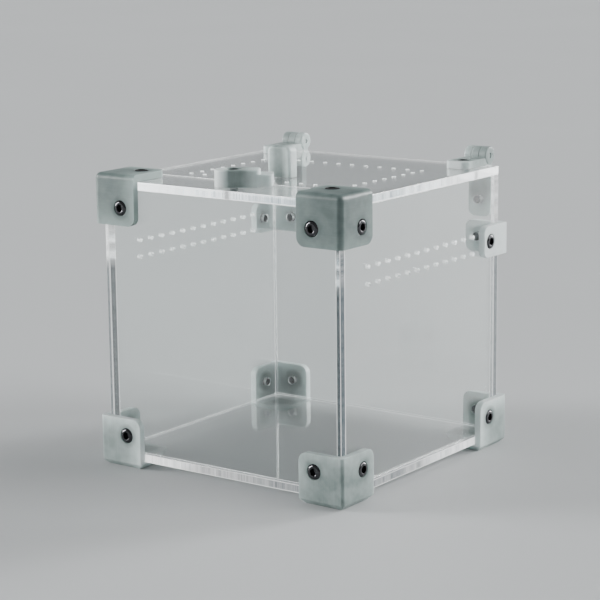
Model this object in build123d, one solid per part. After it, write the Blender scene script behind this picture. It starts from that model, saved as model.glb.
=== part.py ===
from build123d import *
import os

# A small terrarium: clear acrylic sheets, printed brackets, low cap screws, a hinged lid and a turn latch.
# Millimetres. X runs left to right, Y front to back, Z up.

# The box of acrylic sheet
box_width = 100.0
box_depth = 100.0
box_height = 100.0
sheet = 3.0
strip_depth = 19.7
seam_gap = 0.5

# Vent holes: two rows in each side panel and a ring in the lid
vent_diameter = 1.5
vent_pitch = 6.0
vent_margin = 17.0
vent_row_drop = 23.7
vent_row_count = 2
vent_ring_front = 7.3
vent_ring_rear = 24.5

# Printed corner brackets, caps and rear edge brackets
wall = 2.5
leg_reach = 15.5
leg_corner_radius = 3.2
foot_chamfer = 1.8
outer_edge_radius = 1.2
cap_edge_radius = 2.0
rear_bracket_height = 11.4
rear_bracket_drop = 26.0
rear_bracket_back_reach = 14.8
rear_bracket_side_reach = 13.5
rear_bracket_corner_radius = 2.6
screw_inset = 9.3

# Low cap screws with a hex socket
shank_diameter = 3.0
head_diameter = 5.4
head_height = 2.0
head_edge_radius = 0.8
socket_across_flats = 2.5
socket_depth = 1.2
screw_length = 4.0
pivot_screw_length = 8.0
grip_screw_length = 10.0
tip_chamfer = 0.35
head_clearance = 0.15
thread_clearance = 0.05
hole_clearance = 0.2

# Printed hinges
hinge_width = 9.2
hinge_inset = 9.0
leaf_thickness = 2.6
lid_leaf_length = 15.2
wall_leaf_length = 18.7
leaf_corner_radius = 2.6
leaf_rim_radius = 0.4
lid_leaf_screw_inset = 9.3
wall_leaf_screw_drop = 12.3
knuckle_radius = 3.25
knuckle_rim_radius = 0.6
knuckle_gap = 0.3
pin_back = 1.5
pin_diameter = 1.75
pin_recess = 0.3
pin_running_clearance = 0.05
pin_grip_clearance = 0.01

# Turn latch on the fixed strip
pivot_inset = 9.6
lever_width = 7.6
lever_tail = 6.6
lever_grip_end = 9.0
lever_reach = 13.4
lever_tongue_height = 4.4
lever_height = 6.0
lever_tongue_radius = 2.0
lever_grip_radius = 1.5
lever_rim_radius = 0.6
lever_rest_angle = 34.0
tongue_lift = 0.3
head_sink = 0.2
pivot_clearance = 0.1

# Upright grip on the lid
grip_width = 9.8
grip_thickness = 4.6
grip_height = 11.0
grip_corner_radius = 2.2
grip_edge_radius = 1.0
grip_setback = 17.0
grip_bore_spare = 0.5

# Places worked out from the sizes
left = -box_width / 2
right = box_width / 2
front = -box_depth / 2
rear = box_depth / 2
top = box_height
lid_front = front + strip_depth + seam_gap
pin_y = rear + pin_back
pin_z = top + knuckle_radius
hinge_x = right - hinge_inset
pivot_y = front + pivot_inset
grip_y = lid_front + grip_setback
bracket_web = wall - head_height
leaf_web = leaf_thickness - head_height
lever_web = lever_height - head_height - head_sink
overlap = 1.0

# The origin is the middle of the whole object's footprint, on the surface that it stands on
rear_reach = pin_back + knuckle_radius
to_origin = Pos(0, (wall - rear_reach) / 2, wall)


def block(x_range, y_range, z_range):
    """A box between three pairs of limits."""
    sizes = [high - low for low, high in (x_range, y_range, z_range)]
    middles = [(low + high) / 2 for low, high in (x_range, y_range, z_range)]
    return Pos(*middles) * Box(*sizes)


def edges_at(part, axis, **place):
    """The straight edges along an axis whose middle has the given coordinates."""
    chosen = part.edges().filter_by(axis)
    for name, value in place.items():
        chosen = chosen.filter_by(lambda edge, n=name, v=value: abs(getattr(edge.center(), n) - v) < 0.01)
    return chosen


def mirrored(part, to_right, to_rear):
    """A left front piece, moved by mirroring to another corner of the box."""
    if to_right:
        part = mirror(part, about=Plane.YZ)
    if to_rear:
        part = mirror(part, about=Plane.XZ)
    return part


def on_face(point, outward, lift=0.0):
    """A location with its Z axis along the outward direction, lifted off a point."""
    return Plane(origin=Vector(*point) + Vector(*outward) * lift, z_dir=outward).location


# Fasteners
def cap_screw(length):
    """A cap screw that points down, with the underside of its head at Z = 0."""
    head = Cylinder(head_diameter / 2, head_height, align=(Align.CENTER, Align.CENTER, Align.MIN))
    head = fillet(head.edges().group_by(Axis.Z)[-1], head_edge_radius)
    shank = Cylinder(shank_diameter / 2, length, align=(Align.CENTER, Align.CENTER, Align.MAX))
    shank = chamfer(shank.edges().group_by(Axis.Z)[0], tip_chamfer)
    hexagon = RegularPolygon(socket_across_flats / 2, 6, major_radius=False)
    socket = Pos(0, 0, head_height - socket_depth) * extrude(hexagon, head_height)
    return head + shank - socket


def screw_bore(web):
    """The hole and head recess in a printed part; Z = 0 is the face against the sheet."""
    hole = Cylinder(shank_diameter / 2 + hole_clearance, 4 * wall)
    recess = Cylinder(
        head_diameter / 2 + head_clearance, 4 * wall, align=(Align.CENTER, Align.CENTER, Align.MIN)
    )
    return hole + Pos(0, 0, web) * recess


def tapped_bore():
    """A threaded hole through one sheet; Z = 0 is the sheet's outer face."""
    bore = Cylinder(shank_diameter / 2 + thread_clearance, sheet + 2 * overlap)
    return Pos(0, 0, -sheet / 2) * bore


# Where the screws sit: a point on the sheet's outer face and the way the head looks
def vertical_leg_seats(height):
    """Seats of the front leg and the side leg of a left front bracket."""
    return [
        ((left + screw_inset, front, height), (0, -1, 0)),
        ((left, front + screw_inset, height), (-1, 0, 0)),
    ]


def mirrored_seats(seats, to_right, to_rear):
    """The same seats at another corner of the box."""
    flip_x = -1 if to_right else 1
    flip_y = -1 if to_rear else 1
    return [
        ((p[0] * flip_x, p[1] * flip_y, p[2]), (d[0] * flip_x, d[1] * flip_y, d[2]))
        for p, d in seats
    ]


bottom_seats = vertical_leg_seats(screw_inset)
cap_top_seat = ((left + screw_inset, front + screw_inset, top), (0, 0, 1))
cap_seats = vertical_leg_seats(top - screw_inset) + [cap_top_seat]
rear_bracket_z = top - rear_bracket_drop
rear_seats = mirrored_seats(vertical_leg_seats(rear_bracket_z), False, True)
lid_leaf_seat = ((hinge_x, rear - lid_leaf_screw_inset, top), (0, 0, 1))
wall_leaf_seat = ((hinge_x, rear, top - wall_leaf_screw_drop), (0, 1, 0))


# Printed brackets
def cut_bores(part, seats, web):
    """A printed part with a bore at each seat."""
    for point, outward in seats:
        part -= on_face(point, outward) * screw_bore(web)
    return part


def corner_walls(z_face, z_way):
    """Three square legs round the left front corner; z_way is -1 at the base and 1 at the top."""
    z_outer = z_face + z_way * wall
    z_end = z_face - z_way * leg_reach
    outer = block(
        (left - wall, left + leg_reach),
        (front - wall, front + leg_reach),
        (min(z_outer, z_end), max(z_outer, z_end)),
    )
    z_past = z_end - z_way * overlap
    inner = block(
        (left, left + leg_reach + overlap),
        (front, front + leg_reach + overlap),
        (min(z_face, z_past), max(z_face, z_past)),
    )
    legs = outer - inner
    free_corners = (
        edges_at(legs, Axis.Y, X=left + leg_reach, Z=z_end)
        + edges_at(legs, Axis.X, Y=front + leg_reach, Z=z_end)
        + edges_at(legs, Axis.Z, X=left + leg_reach, Y=front + leg_reach)
    )
    return fillet(free_corners, leg_corner_radius)


def bottom_bracket():
    """The left front foot bracket, chamfered all round its underside."""
    legs = corner_walls(0, -1)
    legs = chamfer(legs.faces().sort_by(Axis.Z)[0].outer_wire().edges(), foot_chamfer)
    legs = fillet(edges_at(legs, Axis.Z, X=left - wall, Y=front - wall), outer_edge_radius)
    return cut_bores(legs, bottom_seats, bracket_web)


def top_cap():
    """The left front top cap, rounded along its three outer edges."""
    legs = corner_walls(top, 1)
    outer_edges = (
        edges_at(legs, Axis.Z, X=left - wall, Y=front - wall)
        + edges_at(legs, Axis.X, Y=front - wall, Z=top + wall)
        + edges_at(legs, Axis.Y, X=left - wall, Z=top + wall)
    )
    legs = fillet(outer_edges, cap_edge_radius)
    return cut_bores(legs, cap_seats, bracket_web)


def rear_bracket():
    """The left rear edge bracket, with one leg on the back and one on the side."""
    low = rear_bracket_z - rear_bracket_height / 2
    high = rear_bracket_z + rear_bracket_height / 2
    back_end = left + rear_bracket_back_reach
    side_end = rear - rear_bracket_side_reach
    outer = block((left - wall, back_end), (side_end, rear + wall), (low, high))
    inner = block((left, back_end + overlap), (side_end - overlap, rear), (low - overlap, high + overlap))
    legs = outer - inner
    free_corners = (
        edges_at(legs, Axis.Y, X=back_end, Z=low)
        + edges_at(legs, Axis.Y, X=back_end, Z=high)
        + edges_at(legs, Axis.X, Y=side_end, Z=low)
        + edges_at(legs, Axis.X, Y=side_end, Z=high)
    )
    legs = fillet(free_corners, rear_bracket_corner_radius)
    legs = fillet(edges_at(legs, Axis.Z, X=left - wall, Y=rear + wall), outer_edge_radius)
    return cut_bores(legs, rear_seats, bracket_web)


# Hinges: the right hand one is modelled and mirrored
hinge_left = hinge_x - hinge_width / 2
hinge_right = hinge_x + hinge_width / 2
knuckle_length = (hinge_width - 2 * knuckle_gap) / 3
outer_knuckles = [(hinge_left, hinge_left + knuckle_length), (hinge_right - knuckle_length, hinge_right)]
middle_knuckle = (hinge_left + knuckle_length + knuckle_gap, hinge_right - knuckle_length - knuckle_gap)


def barrel(x_low, x_high, radius):
    """A cylinder round the hinge pin's axis between two X limits."""
    turned = Rot(0, 90, 0) * Cylinder(radius, x_high - x_low)
    return Pos((x_low + x_high) / 2, pin_y, pin_z) * turned


def outer_knuckle(x_range, end):
    """An end knuckle whose free rim is rounded; end is 0 at the left rim and -1 at the right one."""
    knuckle = barrel(*x_range, knuckle_radius)
    rims = knuckle.edges().filter_by(GeomType.CIRCLE).sort_by(Axis.X)
    return fillet(rims[end], knuckle_rim_radius)


def hinge_lid_leaf():
    """The leaf that is screwed on the lid, with the middle knuckle."""
    leaf_front = rear - lid_leaf_length
    leaf_rear = rear - knuckle_gap
    leaf_top = top + leaf_thickness
    leaf = block((hinge_left, hinge_right), (leaf_front, leaf_rear), (top, leaf_top))
    leaf = fillet(
        edges_at(leaf, Axis.Z, X=hinge_left, Y=leaf_front) + edges_at(leaf, Axis.Z, X=hinge_right, Y=leaf_front),
        leaf_corner_radius,
    )
    leaf = fillet(edges_at(leaf, Axis.X, Y=leaf_front, Z=leaf_top), leaf_rim_radius)
    for x_low, x_high in outer_knuckles:
        leaf -= barrel(x_low - knuckle_gap, x_high + knuckle_gap, knuckle_radius + knuckle_gap)
    leaf += block(middle_knuckle, (leaf_rear - overlap, pin_y), (top, leaf_top))
    leaf += barrel(*middle_knuckle, knuckle_radius)
    leaf -= barrel(hinge_left, hinge_right, pin_diameter / 2 + pin_running_clearance)
    return cut_bores(leaf, [lid_leaf_seat], leaf_web)


def hinge_wall_leaf():
    """The leaf that is screwed on the back panel, with the two outer knuckles."""
    leaf_low = top - wall_leaf_length
    leaf = block((hinge_left, hinge_right), (rear, rear + leaf_thickness), (leaf_low, top - knuckle_gap))
    leaf = fillet(
        edges_at(leaf, Axis.Y, X=hinge_left, Z=leaf_low) + edges_at(leaf, Axis.Y, X=hinge_right, Z=leaf_low),
        leaf_corner_radius,
    )
    for x_range, end in zip(outer_knuckles, (0, -1)):
        leaf += block(x_range, (rear, rear + leaf_thickness), (top - knuckle_gap, pin_z))
        leaf += outer_knuckle(x_range, end)
    leaf -= barrel(hinge_left - overlap, hinge_right + overlap, pin_diameter / 2 + pin_grip_clearance)
    return cut_bores(leaf, [wall_leaf_seat], leaf_web)


def hinge_pin():
    """The plastic pin, held in the outer knuckles and free in the middle one."""
    return barrel(hinge_left + pin_recess, hinge_right - pin_recess, pin_diameter / 2)


# Turn latch
def latch_lever():
    """A thick finger grip round the pivot, and a lower tongue that locks over the lid."""
    half = lever_width / 2
    tongue = block((0, lever_reach), (-half, half), (tongue_lift, lever_tongue_height))
    tongue = fillet(
        edges_at(tongue, Axis.Z, X=lever_reach, Y=half) + edges_at(tongue, Axis.Z, X=lever_reach, Y=-half),
        lever_tongue_radius,
    )
    tail_centre = half - lever_tail
    grip = block((tail_centre, lever_grip_end), (-half, half), (0, lever_height))
    grip = fillet(
        edges_at(grip, Axis.Z, X=lever_grip_end, Y=half) + edges_at(grip, Axis.Z, X=lever_grip_end, Y=-half),
        lever_grip_radius,
    )
    grip += Pos(tail_centre, 0, lever_height / 2) * Cylinder(half, lever_height)
    grip = fillet(grip.faces().sort_by(Axis.Z)[-1].outer_wire().edges(), lever_rim_radius)
    bore = Cylinder(shank_diameter / 2 + pivot_clearance, 4 * lever_height)
    recess = Cylinder(
        head_diameter / 2 + head_clearance, lever_height, align=(Align.CENTER, Align.CENTER, Align.MIN)
    )
    lever = grip + tongue - bore - Pos(0, 0, lever_web) * recess
    return Pos(0, pivot_y, top) * Rot(0, 0, lever_rest_angle) * lever


def latch_pivot_screw():
    """The screw that the lever turns on, threaded into the fixed strip."""
    return Pos(0, pivot_y, top + lever_web) * cap_screw(pivot_screw_length)


# Lid grip
def lid_grip():
    """An upright tab with round top corners, screwed on from under the lid."""
    x_side = grip_width / 2
    y_side = grip_thickness / 2
    tab = block((-x_side, x_side), (-y_side, y_side), (0, grip_height))
    tab = fillet(
        edges_at(tab, Axis.Y, X=x_side, Z=grip_height) + edges_at(tab, Axis.Y, X=-x_side, Z=grip_height),
        grip_corner_radius,
    )
    rims = [
        edge
        for face in (tab.faces().sort_by(Axis.Y)[0], tab.faces().sort_by(Axis.Y)[-1])
        for edge in face.edges()
        if edge.center().Z > overlap / 2
    ]
    tab = fillet(rims, grip_edge_radius)
    bore_depth = grip_screw_length - sheet + grip_bore_spare
    tab -= Cylinder(
        shank_diameter / 2 + thread_clearance, bore_depth, align=(Align.CENTER, Align.CENTER, Align.MIN)
    )
    return Pos(0, grip_y, top) * tab


def lid_grip_screw():
    """The screw under the lid that holds the grip."""
    return on_face((0, grip_y, top - sheet), (0, 0, -1)) * cap_screw(grip_screw_length)


# Acrylic sheets
def vent_places(span):
    """Hole places along a run, centred on zero, at the vent pitch."""
    count = int(span / vent_pitch + 0.01) + 1
    return [(i - (count - 1) / 2) * vent_pitch for i in range(count)]


def drill_vents(panel, places):
    """A sheet with a vent hole at each place; a place is a point and a direction."""
    hole = Cylinder(vent_diameter / 2, 4 * sheet)
    return panel - [on_face(point, way) * hole for point, way in places]


def tap(panel, seats):
    """A sheet with a threaded hole at each seat."""
    return panel - [on_face(point, outward) * tapped_bore() for point, outward in seats]


def seats_looking(way):
    """All bracket and hinge seats on the outer face that looks one way."""
    seats = []
    for to_right in (False, True):
        for to_rear in (False, True):
            seats += mirrored_seats(bottom_seats, to_right, to_rear)
        seats += mirrored_seats(cap_seats, to_right, False)
        seats += mirrored_seats(rear_seats, to_right, False)
        seats += mirrored_seats([wall_leaf_seat], to_right, False)
    return [seat for seat in seats if seat[1] == way]


def upright_panel(y_low, y_high, way):
    """A front or back panel, over the full width."""
    panel = block((left, right), (y_low, y_high), (sheet, top - sheet))
    return tap(panel, seats_looking(way))


def side_panel(x_low, x_high, way):
    """A side panel between the front and the back, with its two vent rows."""
    panel = block((x_low, x_high), (front + sheet, rear - sheet), (sheet, top - sheet))
    panel = tap(panel, seats_looking(way))
    vents = [
        ((x_low, y, top - vent_row_drop - row * vent_pitch), way)
        for row in range(vent_row_count)
        for y in vent_places(box_depth - 2 * vent_margin)
    ]
    return drill_vents(panel, vents)


def top_front_strip():
    """The fixed part of the top, with the corner screws and the latch pivot in it."""
    strip = block((left, right), (front, front + strip_depth), (top - sheet, top))
    pivot_seat = ((0, pivot_y, top), (0, 0, 1))
    return tap(strip, seats_looking((0, 0, 1)) + [pivot_seat])


def lid_panel():
    """The hinged part of the top, with its ring of vent holes."""
    lid = block((left, right), (lid_front, rear), (top - sheet, top))
    lid = tap(lid, [lid_leaf_seat] + mirrored_seats([lid_leaf_seat], True, False))
    lid -= Pos(0, grip_y, top) * Cylinder(shank_diameter / 2 + hole_clearance, 4 * sheet)
    columns = vent_places(box_width - 2 * vent_margin)
    ring_depth = rear - lid_front - vent_ring_front - vent_ring_rear
    row_count = len(vent_places(ring_depth))
    rows = [lid_front + vent_ring_front + i * vent_pitch for i in range(row_count)]
    ring = [
        ((x, y, top), (0, 0, 1))
        for x in columns
        for y in rows
        if x in (columns[0], columns[-1]) or y in (rows[0], rows[-1])
    ]
    return drill_vents(lid, ring)


def screws_at(seats, web):
    """A group of separate cap screws, one at each seat."""
    return Compound([on_face(point, outward, web) * cap_screw(screw_length) for point, outward in seats])


nodes = {
    "base_panel": block((left, right), (front, rear), (0, sheet)),
    "front_panel": upright_panel(front, front + sheet, (0, -1, 0)),
    "back_panel": upright_panel(rear - sheet, rear, (0, 1, 0)),
    "left_panel": side_panel(left, left + sheet, (-1, 0, 0)),
    "right_panel": side_panel(right - sheet, right, (1, 0, 0)),
    "top_front_strip": top_front_strip(),
    "lid_panel": lid_panel(),
    "latch_lever": latch_lever(),
    "latch_pivot_screw": latch_pivot_screw(),
    "lid_grip": lid_grip(),
    "lid_grip_screw": lid_grip_screw(),
}

foot = bottom_bracket()
cap = top_cap()
edge_bracket = rear_bracket()
lid_leaf = hinge_lid_leaf()
wall_leaf = hinge_wall_leaf()
pin = hinge_pin()
for side, to_right in (("left", False), ("right", True)):
    for end, to_rear in (("front", False), ("rear", True)):
        nodes[f"bottom_bracket_{end}_{side}"] = mirrored(foot, to_right, to_rear)
        foot_seats = mirrored_seats(bottom_seats, to_right, to_rear)
        nodes[f"bottom_screws_{end}_{side}"] = screws_at(foot_seats, bracket_web)
    nodes[f"top_cap_{side}"] = mirrored(cap, to_right, False)
    nodes[f"top_cap_screws_{side}"] = screws_at(mirrored_seats(cap_seats, to_right, False), bracket_web)
    nodes[f"rear_bracket_{side}"] = mirrored(edge_bracket, to_right, False)
    nodes[f"rear_bracket_screws_{side}"] = screws_at(mirrored_seats(rear_seats, to_right, False), bracket_web)
    nodes[f"hinge_lid_leaf_{side}"] = mirrored(lid_leaf, not to_right, False)
    nodes[f"hinge_wall_leaf_{side}"] = mirrored(wall_leaf, not to_right, False)
    nodes[f"hinge_pin_{side}"] = mirrored(pin, not to_right, False)
    lid_seats = mirrored_seats([lid_leaf_seat], not to_right, False)
    nodes[f"hinge_lid_screw_{side}"] = screws_at(lid_seats, leaf_web)
    wall_seats = mirrored_seats([wall_leaf_seat], not to_right, False)
    nodes[f"hinge_wall_screw_{side}"] = screws_at(wall_seats, leaf_web)

os.makedirs("parts", exist_ok=True)
for name, part in nodes.items():
    export_step(to_origin * part, f"parts/{name}.step")

hinge_place = to_origin * Pos(hinge_x, pin_y, pin_z)
pivot_place = to_origin * Pos(0, pivot_y, top)
print("lid hinge axis at", hinge_place.position)
print("latch pivot at", pivot_place.position)
print("box moved by", to_origin.position)
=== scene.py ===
# %% [markdown]
# # A small acrylic terrarium
# The real object is a 100 mm cube of clear 3 mm acrylic. Nothing is glued: milky 3D-printed
# brackets and small cap screws hold the sheets. The lid hangs on two printed hinges and a turn
# latch keeps it shut. The lesson dresses the CAD frame of that object, one kind of piece at a time.

from math import cos, hypot, pi, radians, sin

import bmesh
import bpy
from mathutils import Matrix, Vector


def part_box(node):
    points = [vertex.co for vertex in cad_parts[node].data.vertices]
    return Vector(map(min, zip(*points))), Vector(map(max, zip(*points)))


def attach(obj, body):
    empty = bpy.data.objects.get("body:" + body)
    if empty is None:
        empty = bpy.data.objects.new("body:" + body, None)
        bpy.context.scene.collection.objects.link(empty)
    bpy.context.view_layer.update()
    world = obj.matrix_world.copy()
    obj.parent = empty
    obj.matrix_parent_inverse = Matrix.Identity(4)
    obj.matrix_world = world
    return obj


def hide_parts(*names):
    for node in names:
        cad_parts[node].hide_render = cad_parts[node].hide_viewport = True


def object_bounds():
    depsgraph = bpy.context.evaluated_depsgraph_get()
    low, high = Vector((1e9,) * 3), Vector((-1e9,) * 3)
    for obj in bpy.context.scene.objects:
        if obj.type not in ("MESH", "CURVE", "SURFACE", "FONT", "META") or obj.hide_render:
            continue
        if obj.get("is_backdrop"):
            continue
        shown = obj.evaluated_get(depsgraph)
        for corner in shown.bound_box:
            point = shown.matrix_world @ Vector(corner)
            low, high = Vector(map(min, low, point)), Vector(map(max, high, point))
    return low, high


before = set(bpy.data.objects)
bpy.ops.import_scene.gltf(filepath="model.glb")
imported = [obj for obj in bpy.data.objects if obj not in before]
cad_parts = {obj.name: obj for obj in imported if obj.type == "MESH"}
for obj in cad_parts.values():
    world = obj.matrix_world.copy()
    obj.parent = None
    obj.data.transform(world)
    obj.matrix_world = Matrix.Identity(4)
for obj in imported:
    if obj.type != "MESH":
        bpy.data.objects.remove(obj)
cad_box = [list(corner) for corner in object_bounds()]

# %% [markdown]
# ## Sizes
# The sizes are those of the CAD part, in millimetres, and one helper turns them into metres. The
# box of sheets is read from the frame, so a bracket or a screw sits where the CAD puts it. Only the
# sizes that several pieces share stand here; the others stand with their piece.

# %% Sizes in millimetres
MM = 0.001
SHEET = 3.0
WALL = 2.5  # thickness of a bracket
LEG = 15.5  # how far a bracket's leg reaches over the sheets
LEAF = 2.6  # thickness of a hinge leaf
SCREW_INSET = 9.3  # from the sheet's edge to a bracket's screw
SCREW_RADIUS, TAPPED_RADIUS, CLEAR_RADIUS = 1.22, 1.55, 1.7  # core, hole in a sheet, hole in a print

LEFT, FRONT, BASE = [round(v / MM, 3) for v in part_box("base_panel")[0]]
RIGHT, REAR, TOP = [round(v / MM, 3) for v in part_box("lid_panel")[1]]
MIDDLE = ((LEFT + RIGHT) / 2, (FRONT + REAR) / 2, (BASE + TOP) / 2)
HALF = ((RIGHT - LEFT) / 2, (REAR - FRONT) / 2, (TOP - BASE) / 2)
PIVOT_Y = FRONT + 9.6
LATCH_TURN = radians(34)
X_WAY, Y_WAY, Z_WAY = (1, 0, 0), (0, 1, 0), (0, 0, 1)
TO_FRONT, TO_LEFT, DOWN = (0, -1, 0), (-1, 0, 0), (0, 0, -1)
print("sheets span x", LEFT, RIGHT, "y", FRONT, REAR, "z", BASE, TOP)


def metres(point):
    """A point in millimetres as a vector in metres."""
    return Vector(point) * MM


# %% [markdown]
# ## Camera
# The camera comes first, so that every later step can be judged from the photograph's side. Its
# angle, distance and lens came from fitting a cube to the eight panel corners in the photograph.

# %% Camera
AZIMUTH, ELEVATION, ROLL = radians(36.160), radians(11.514), radians(-0.648)
CAMERA_PLACE = (LEFT + 466.34, FRONT - 523.06, BASE + 198.18)
SENSOR_WIDTH, FOCAL_LENGTH = 36, 121.1
toward = Vector((sin(AZIMUTH) * cos(ELEVATION), -cos(AZIMUTH) * cos(ELEVATION), sin(ELEVATION)))
level = Vector((cos(AZIMUTH), sin(AZIMUTH), 0))
upright = toward.cross(level)
across = level * cos(ROLL) + upright * sin(ROLL)
upward = upright * cos(ROLL) - level * sin(ROLL)

bpy.ops.object.camera_add()
camera = bpy.context.object
camera.data.sensor_width, camera.data.lens = SENSOR_WIDTH, FOCAL_LENGTH
camera.data.clip_start, camera.data.clip_end = 0.01, 100
view = Matrix((across, upward, toward)).transposed().to_4x4()
camera.matrix_world = Matrix.Translation(metres(CAMERA_PLACE)) @ view
bpy.context.scene.camera = camera
print("camera at", tuple(round(v, 3) for v in camera.matrix_world.translation))

# %% [markdown]
# ## A small shader workshop
# Each finish is a material with nodes. `Wire` wraps an output, so that maths on it reads like plain
# Python and adds the Math nodes by itself. `Finish.node` adds any other node.


# %% Shader maths
class Wire:
    """A node output that adds Math nodes when it is calculated with."""

    def __init__(self, finish, socket):
        self.finish, self.socket = finish, socket

    def maths(self, operation, first, second=0.0):
        return self.finish.node("Math", {"operation": operation}, {0: first, 1: second})

    def __add__(self, other):
        return self.maths("ADD", self, other)

    def __sub__(self, other):
        return self.maths("SUBTRACT", self, other)

    def __rsub__(self, other):
        return self.maths("SUBTRACT", other, self)

    def __mul__(self, other):
        return self.maths("MULTIPLY", self, other)

    def __abs__(self):
        return self.maths("ABSOLUTE", self)

    def larger(self, other):
        return self.maths("MAXIMUM", self, other)

    def smaller(self, other):
        return self.maths("MINIMUM", self, other)

    def within(self, low, high):
        """0 below low, 1 above high and a straight ramp in between."""
        return self.finish.node("MapRange", {}, {"Value": self, "From Min": low, "From Max": high})

    __radd__ = __add__
    __rmul__ = __mul__


class Finish:
    """A material whose nodes are added by one method."""

    def __init__(self, name):
        self.material = bpy.data.materials.new(name)
        self.material.use_nodes = True
        self.tree = self.material.node_tree
        self.shader = self.tree.nodes["Principled BSDF"]
        self.place = self.node("TexCoord", {}, {}, output="Object")

    def fill(self, node, values):
        for key, value in values.items():
            if isinstance(value, Wire):
                self.tree.links.new(value.socket, node.inputs[key])
            else:
                node.inputs[key].default_value = value

    def node(self, kind, settings, values, output=0):
        made = self.tree.nodes.new("ShaderNode" + kind)
        for key, value in settings.items():
            setattr(made, key, value)
        self.fill(made, values)
        return Wire(self, made.outputs[output])

    def mixed(self, share, first, second):
        """A colour between two colours."""
        return self.node("Mix", {"data_type": "RGBA"}, {0: share, 6: first, 7: second}, output=2)

    def along(self, axis):
        """The object's own place along one axis in millimetres, from the middle of the box."""
        return self.node("SeparateXYZ", {}, {0: self.place}, output=axis) * (1 / MM) - MIDDLE[axis]

    def noise(self, stretch, detail=2.0):
        """Soft noise over the object's own millimetres, with so many cells in each along X, Y and Z."""
        placed = self.node("Mapping", {}, {"Vector": self.place, "Scale": [s / MM for s in stretch]})
        return self.node("TexNoise", {}, {"Vector": placed, "Scale": 1.0, "Detail": detail})

    def relief(self, height, depth):
        """A bump so many millimetres deep."""
        return self.node("Bump", {}, {"Height": height, "Distance": depth * MM, "Strength": 1.0})

    def set(self, **sockets):
        self.fill(self.shader, {key.replace("_", " "): value for key, value in sockets.items()})
        return self.material


# %% [markdown]
# ## Clear acrylic
# Cast acrylic is nearly colourless, with a hint of cool green over a long path, and its faces are
# as smooth as glass. A Principled shader with full transmission and acrylic's index of 1.49 bends
# light as the real sheet does. A very shallow, slow ripple keeps reflections from looking like
# those of a perfect mirror, and faint handling marks change the gloss a little.

# %% Acrylic faces
ACRYLIC_IOR = 1.49
clear = Finish("acrylic_face")
marks = clear.noise((0.05, 0.05, 0.05), detail=4.0).within(0.5, 0.75)
ripple = clear.noise((0.03, 0.03, 0.03))
acrylic_face = clear.set(
    Base_Color=clear.mixed(marks, (0.975, 0.995, 0.99, 1), (0.955, 0.985, 0.98, 1)),
    Transmission_Weight=1.0,
    IOR=ACRYLIC_IOR,
    Roughness=marks * 0.02,
    Normal=clear.relief(ripple, 0.02),
)

# %% [markdown]
# ## Laser-cut edges
# A laser leaves fine stripes straight across the thickness of a sheet. The light that runs inside a
# sheet and comes out at the cut face is painted: an edge's colour runs from dark grey-blue to white
# and it glows with painted light, so an edge is the brightest part of the object, with a painted
# bright line along each of its two borders. The finish is partly clear and partly white, and the
# painted glow is most at the left and at the back, least at the front right corner, and on upright
# sheets strongest near the top. The stripes don't change along the thickness, so the noise is
# stretched flat that way: one finish for each way that a sheet can lie. The walls of the vents glow
# with painted light too, and those of the tapped holes only a little.


# %% Cut edge finishes
def cut_edge(name, axis):
    """The finish of the cut edges of sheets whose thickness lies along an axis."""
    edge = Finish(name)
    flat = [0.0 if i == axis else 1.0 for i in range(3)]
    fine = edge.noise([3.2 * f for f in flat], detail=3.0).within(0.35, 0.65)
    band = edge.noise([0.45 * f for f in flat], detail=1.0).within(0.35, 0.65)
    to_left, to_rear, high_up = 0 - edge.along(0), edge.along(1), edge.along(2)
    # Painted light: the edge's colour and glow are brighter to the left and rear, dimmer low on upright
    # sheets, with a painted bright line along both borders.
    painted_glow_left_rear = to_left.within(-35, 40).larger(to_rear.within(-25, 45))
    from_middle = abs(abs(edge.along(axis)) - (HALF[axis] - SHEET / 2))
    light = fine * 0.2 + band * 0.25 + painted_glow_left_rear * 0.55
    if axis != 2:
        light = light * (high_up.within(18, 24) * 0.6 + 0.15)
    light = light.larger(from_middle.within(0.95, 1.35) * 0.9)
    return edge.set(
        Base_Color=edge.mixed(light, (0.22, 0.31, 0.36, 1), (0.98, 1.0, 1.0, 1)),
        Emission_Color=edge.mixed(light, (0.0, 0.01, 0.015, 1), (1.0, 1.0, 1.0, 1)),
        Emission_Strength=1.1,
        Transmission_Weight=0.8,
        IOR=ACRYLIC_IOR,
        Roughness=fine * 0.08 + 0.03,
        Normal=edge.relief(fine * 0.6 + band * 0.4, 0.03),
    )


cut_edges = [cut_edge(f"acrylic_cut_edge_{letter}", axis) for axis, letter in enumerate("xyz")]


def hole_wall(name, glow):
    """The wall of a hole through a sheet, white and glowing with painted light where light that runs inside
    the sheet would come out.
    """
    wall = Finish(name)
    rings = wall.noise((2.5, 2.5, 2.5))
    return wall.set(
        Base_Color=wall.mixed(rings, (0.86, 0.93, 0.93, 1), (1.0, 1.0, 1.0, 1)),
        Emission_Color=wall.mixed(rings.within(0.4, 0.6), (0.3, 0.35, 0.35, 1), (1.0, 1.0, 1.0, 1)),
        Emission_Strength=glow,
        Transmission_Weight=0.9,
        IOR=ACRYLIC_IOR,
        Roughness=rings * 0.2 + 0.05,
    )


tapped_wall = hole_wall("acrylic_tapped_wall", 0.1)
vent_wall = hole_wall("acrylic_vent_wall", 1.0)
print("edge finishes:", [finish.name for finish in cut_edges + [tapped_wall, vent_wall]])
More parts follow.
